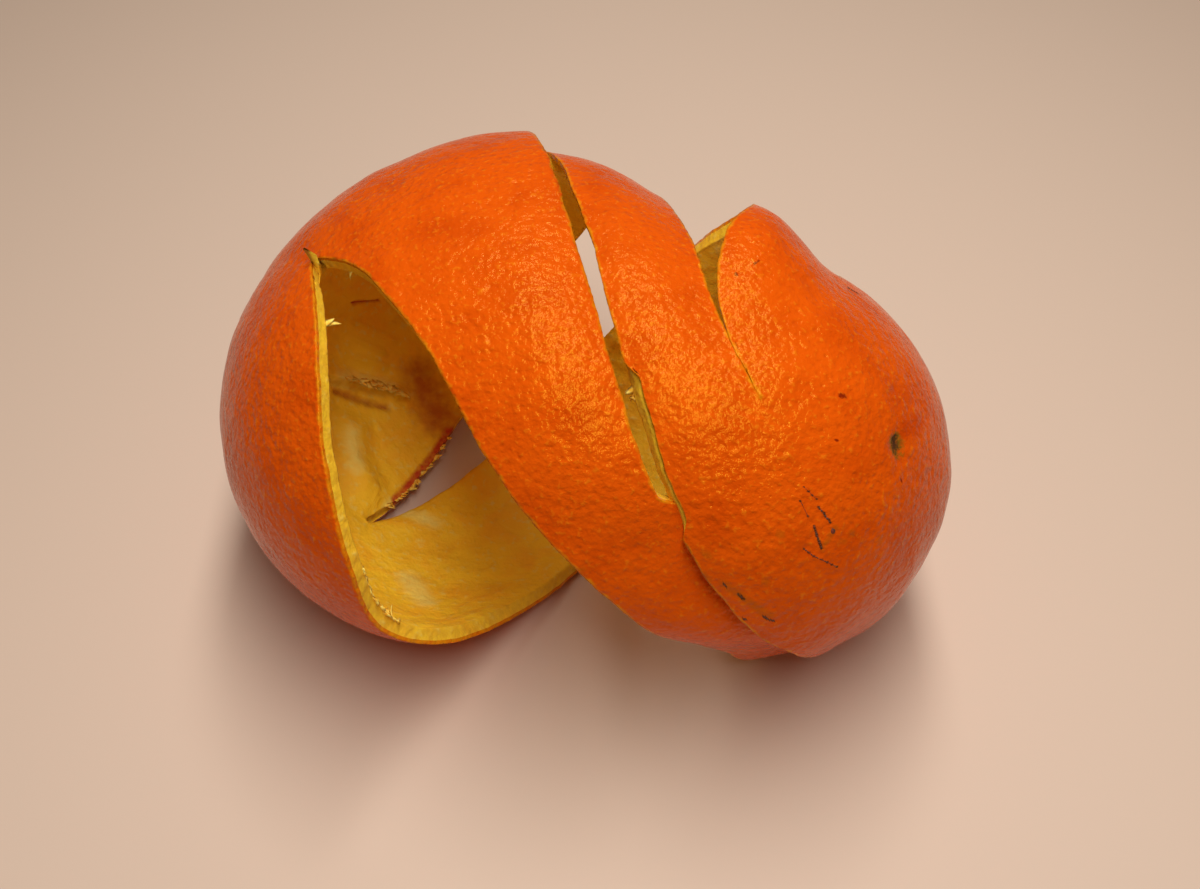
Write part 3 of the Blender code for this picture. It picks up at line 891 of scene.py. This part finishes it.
def skin_marks(form):
    """fields of the marks on the skin, each from 0 to 1"""
    fields = {kind: form.near_lines(marks, 0.85, 1.3) for kind, marks in SKIN_MARKS.items()}
    fields["scab"] = np.maximum(fields["scab"], fade(2 * (1.5 - form.from_place(SCAR, *SCAR_SLIT))))
    ring = 0.8 * fade(1.6 - form.from_place(SCAR, *SCAR_RING))
    stem_ring = fade(2 * (1 - form.from_place(STEM_POLE) / (1.3 * STEM_BUTTON[0])))
    fields["hollow"] = np.maximum(ring, stem_ring)
    return fields


def zest_points(form, sizes):
    """the skin's fine surface"""
    return form.points + form.normals * skin_relief(form, sizes)[:, None]


def make_zest(sizes, colours):
    """the skin, with an edge that turns in over the pith at every cut"""
    form = skin()
    outer = zest_points(form, sizes)
    rings = [outer[form.lip] - form.normals[form.lip] * depth for depth in LIP_DEPTHS]
    points, faces = form.with_rim(outer, rings)
    fields = {name: np.append(field, np.tile(field[form.lip], len(rings)))
              for name, field in skin_marks(form).items()}
    fields["edge"] = form.towards_lip(len(points), *EDGE_TONE)
    return new_piece("orange_zest", form.on_table(points), faces, waxed_zest(colours, sizes), fields)


def inner_depths(form, sizes):
    """how far the inside lies below the skin"""
    thickness = sizes.thickness / MM * (1 - LIP_THINNING * fade(1 - form.from_lip / LIP_REACH))
    return thickness + pith_relief(form, sizes) * fade(form.from_lip / LIP_REACH)


def at_depth(form, sizes, share, picked=slice(None)):
    """points at a share of the thickness below the skin, past the skin's edge where the knife leaned"""
    below = form.normals[picked] * (inner_depths(form, sizes)[picked] * share)[:, None]
    beyond = form.outward[picked] * (form.stand_back[picked] * share)[:, None]
    return form.points[picked] + beyond - below


def pith_fields(form):
    """fields of the inside's painted shade, of its whitish pith and painted light, and of the painted shade
    in its torn grooves
    """
    torn = np.maximum(form.near(TORN_EDGE, 1.5, 1.5), form.near(SLIT, 0.45, 1.6))
    pith_shade, pale_and_lit = form.near_lines(PITH_SHADE_PATCHES, 2), form.near_lines(PALE_AND_LIT_PATCHES, 2)
    return {"pith_shade": pith_shade, "pale_and_lit": pale_and_lit, "torn": torn}


def make_pith(sizes, colours):
    """the inside, and the cut faces from the zest's edge down to it"""
    form = skin()
    inner = at_depth(form, sizes, 1)
    under_zest = (skin_relief(form, sizes)[form.lip] - LIP_DEPTHS[-1])[:, None]
    rings = [form.points[form.lip] + form.normals[form.lip] * under_zest]
    rings += [at_depth(form, sizes, share, form.lip) for share in CUT_DEPTHS]
    points, faces = form.with_rim(inner, rings, inside=True)
    fields = {name: np.append(field, np.tile(field[form.lip] * (name == "torn"), len(rings)))
              for name, field in pith_fields(form).items()}
    fields["cut"] = form.towards_lip(len(points), *CUT_TONE)
    return new_piece("orange_pith", form.on_table(points), faces, juicy_pith(colours), fields)


SCAB_SEED = 11
SCAB_SIDES = 14
SCAB_HEIGHT = 0.1
SCAB_RADIUS = 0.6         # as a share of the mark's half width
SCAB_SPACING = 1.6        # along a scratch, in half widths
SCAB_STRETCH = 1.25       # how much longer a bead is along the scratch
SCAB_RINGS = ((0.65, 0.8), (1, -0.6))   # shares of its radius and height: the rim is in the skin
SCAB_SIZES, SCAB_HEIGHTS, SCAB_RAGGED = (0.5, 1.2), (0.6, 1.2), (0.8, 1.25)


def make_scabs(sizes, colours):
    """a low, uneven crust over every scratch, as a row of beads that run together"""
    form = skin()
    surface = zest_points(form, sizes)
    random = np.random.default_rng(SCAB_SEED)
    points, faces = [], []

    def bead(at, run, half_width):
        near = np.argmin(np.sum((surface - at) ** 2, axis=1))
        normal = form.normals[near]
        at = at + normal * ((surface[near] - at) @ normal)
        along = unit(run - normal * (run @ normal))
        across = np.cross(normal, along)
        top = len(points)
        radius = SCAB_RADIUS * half_width * random.uniform(*SCAB_SIZES)
        points.append(at + normal * SCAB_HEIGHT * random.uniform(*SCAB_HEIGHTS))
        for share, height in SCAB_RINGS:
            for turn in 2 * np.pi * np.arange(SCAB_SIDES) / SCAB_SIDES:
                reach = radius * share * random.uniform(*SCAB_RAGGED)
                flat = along * np.cos(turn) * SCAB_STRETCH + across * np.sin(turn)
                points.append(at + flat * reach + normal * SCAB_HEIGHT * height)
        for k in range(SCAB_SIDES):
            a, b = top + 1 + k, top + 1 + (k + 1) % SCAB_SIDES
            faces.append([top, a, b])
            faces.append([a, a + SCAB_SIDES, b + SCAB_SIDES, b])

    for places, half_width in SKIN_MARKS["scab"]:
        knots = form.nearest_to(places)
        for a, b in zip(knots, knots[1:]):
            run = surface[b] - surface[a]
            beads = max(1, round(np.linalg.norm(run) / (SCAB_SPACING * half_width)))
            for t in (np.arange(beads) + 0.5) / beads:
                bead(surface[a] + run * t, run, half_width)
    return new_piece("dried_scabs", form.on_table(np.array(points)), faces, dried_scab(colours))


FLAKE_SEED = 5
FLAKE_STATIONS = 6
FLAKE_THICKNESS = 0.16
FLAKE_ROOT = 0.25         # the share of a flake's length that is sunk in the pith
FLAKE_SIZES = (0.5, 1.3)  # of the row's length and width
FLAKE_STRAY = 0.6         # how far flakes turn aside
FLAKE_LIFT, FLAKE_CURL = (0.1, 0.7), (-0.2, 0.7)
FLAKE_TAPER = 0.6
FLAKE_TIP = 0.02          # half width of the tip


def make_flakes(sizes, colours):
    """torn strands and flakes of pith, each a thin leaf that curls away from its root"""
    form = skin()
    random = np.random.default_rng(FLAKE_SEED)
    points, faces = [], []

    def flake(root, inward, outward, length, width):
        sideways = np.cross(inward, outward)
        way = outward + sideways * random.normal(0, FLAKE_STRAY) + inward * random.uniform(*FLAKE_LIFT)
        way = unit(way)
        across = unit(np.cross(way, inward))
        curl = np.cross(across, way) * random.uniform(*FLAKE_CURL)
        long, wide = length * random.uniform(*FLAKE_SIZES), width * random.uniform(*FLAKE_SIZES)
        first = len(points)
        for s in np.arange(FLAKE_STATIONS) / (FLAKE_STATIONS - 1):
            middle = root + way * long * (s - FLAKE_ROOT) + curl * long * s * s
            half = wide / 2 * (1 - s) ** FLAKE_TAPER + FLAKE_TIP
            thick = FLAKE_THICKNESS * (1.1 - s) * np.cross(across, way)
            points.extend([middle + across * half, middle + thick, middle - across * half, middle - thick])
        for start in range(first, len(points) - 4, 4):
            for a, b in ((0, 1), (1, 2), (2, 3), (3, 0)):
                faces.append([start + a, start + b, start + b + 4, start + a + 4])
        faces.append([first + 3, first + 2, first + 1, first])
        faces.append([len(points) - 4 + corner for corner in range(4)])

    for places, number, length, width, share, facing in FLAKES:
        surface = at_depth(form, sizes, share)
        knots = form.nearest_to(places)
        for t in np.sort(random.uniform(0, len(knots) - 1, number)):
            k = int(t)
            at = surface[knots[k]] * (k + 1 - t) + surface[knots[k + 1]] * (t - k)
            near = np.argmin(np.sum((surface - at) ** 2, axis=1))
            flake(surface[near], -form.normals[near], facing * form.outward[near], length, width)
    return new_piece("torn_pith_flakes", form.on_table(np.array(points)), faces, torn_fibre(colours))


# ---------------------------------------------------------------- stage

LENS = 38.0
SENSOR = 36.0
VIEW_ELEVATION = 50.0
VIEW_DISTANCE = 243.6
AIM = (4.1, -10.1, 41.7)  # the point that the camera looks at
FLOOR_SIZE = 2.4          # metres
LAMP_PLACE = (32, -30, 500)
LAMP_SIZE = (90, 580)     # along x, and from front to back


def make_floor(look):
    bpy.ops.mesh.primitive_plane_add(size=FLOOR_SIZE)
    floor = bpy.context.object
    floor.name = "floor"
    material, _, shader, _ = new_material("matt_tabletop")
    shader.inputs["Base Color"].default_value = opaque(look.floor)
    shader.inputs["Roughness"].default_value = 0.7
    floor.data.materials.append(material)


def make_camera():
    data = bpy.data.cameras.new("camera")
    data.lens = LENS
    data.sensor_width = SENSOR
    camera = bpy.data.objects.new("camera", data)
    bpy.context.scene.collection.objects.link(camera)
    rise = np.radians(VIEW_ELEVATION)
    towards = Vector((0, -np.cos(rise), np.sin(rise)))
    camera.location = (Vector(AIM) + towards * VIEW_DISTANCE) * MM
    camera.rotation_euler = towards.to_track_quat("Z", "Y").to_euler()
    bpy.context.scene.camera = camera


def make_lamp(power):
    """one long soft lamp overhead that points straight down"""
    data = bpy.data.lights.new("overhead_lamp", "AREA")
    data.shape = "RECTANGLE"
    data.size, data.size_y = (side * MM for side in LAMP_SIZE)
    data.energy = power
    lamp = bpy.data.objects.new("overhead_lamp", data)
    bpy.context.scene.collection.objects.link(lamp)
    lamp.location = Vector(LAMP_PLACE) * MM


def make_world(look):
    world = bpy.data.worlds.new("room")
    bpy.context.scene.world = world
    world.use_nodes = True
    background = world.node_tree.nodes["Background"]
    background.inputs["Color"].default_value = opaque(look.floor)
    background.inputs["Strength"].default_value = look.fill


# ---------------------------------------------------------------- add-on

class PEEL_OT_zest(bpy.types.Operator):
    """Build the skin with its glands, scars and cut edge"""
    bl_idname = "peel.zest"
    bl_label = "Zest"

    def execute(self, context):
        make_zest(context.scene.peel_sizes, context.scene.peel_colours)
        return {"FINISHED"}


class PEEL_OT_pith(bpy.types.Operator):
    """Build the torn pith and the cut faces"""
    bl_idname = "peel.pith"
    bl_label = "Pith"

    def execute(self, context):
        make_pith(context.scene.peel_sizes, context.scene.peel_colours)
        return {"FINISHED"}


class PEEL_OT_scabs(bpy.types.Operator):
    """Build the dried crusts over the scratches"""
    bl_idname = "peel.scabs"
    bl_label = "Scabs"

    def execute(self, context):
        make_scabs(context.scene.peel_sizes, context.scene.peel_colours)
        return {"FINISHED"}


class PEEL_OT_flakes(bpy.types.Operator):
    """Build the torn strands and flakes of pith"""
    bl_idname = "peel.flakes"
    bl_label = "Torn flakes"

    def execute(self, context):
        make_flakes(context.scene.peel_sizes, context.scene.peel_colours)
        return {"FINISHED"}


class PEEL_OT_stage(bpy.types.Operator):
    """Build the floor, the lights and the camera"""
    bl_idname = "peel.stage"
    bl_label = "Stage"

    def execute(self, context):
        look = context.scene.peel_stage
        make_floor(look)
        make_world(look)
        make_lamp(look.key_power)
        make_camera()
        context.scene.view_settings.view_transform = "Standard"
        return {"FINISHED"}


class PEEL_PT_panel(bpy.types.Panel):
    """Sidebar panel with the peel's pieces, sizes and colours"""
    bl_label = "Orange Peel"
    bl_space_type = "VIEW_3D"
    bl_region_type = "UI"
    bl_category = "Peel"

    def draw(self, context):
        for maker in OPERATORS:
            self.layout.operator(maker.bl_idname)
        for group in (context.scene.peel_sizes, context.scene.peel_colours, context.scene.peel_stage):
            box = self.layout.box()
            for prop in group.__annotations__:
                box.prop(group, prop)


GROUPS = {"peel_sizes": PeelSizes, "peel_colours": PeelColours, "peel_stage": StageLook}
OPERATORS = (PEEL_OT_zest, PEEL_OT_pith, PEEL_OT_scabs, PEEL_OT_flakes, PEEL_OT_stage)


def register():
    for kind in (*GROUPS.values(), *OPERATORS, PEEL_PT_panel):
        bpy.utils.register_class(kind)
    for name, kind in GROUPS.items():
        setattr(bpy.types.Scene, name, bpy.props.PointerProperty(type=kind))


def unregister():
    for name in GROUPS:
        delattr(bpy.types.Scene, name)
    for kind in (PEEL_PT_panel, *reversed(OPERATORS), *reversed(GROUPS.values())):
        bpy.utils.unregister_class(kind)


def main():
    register()
    bpy.ops.peel.zest()
    bpy.ops.peel.pith()
    bpy.ops.peel.scabs()
    bpy.ops.peel.flakes()
    bpy.ops.peel.stage()


if __name__ == "__main__":
    main()
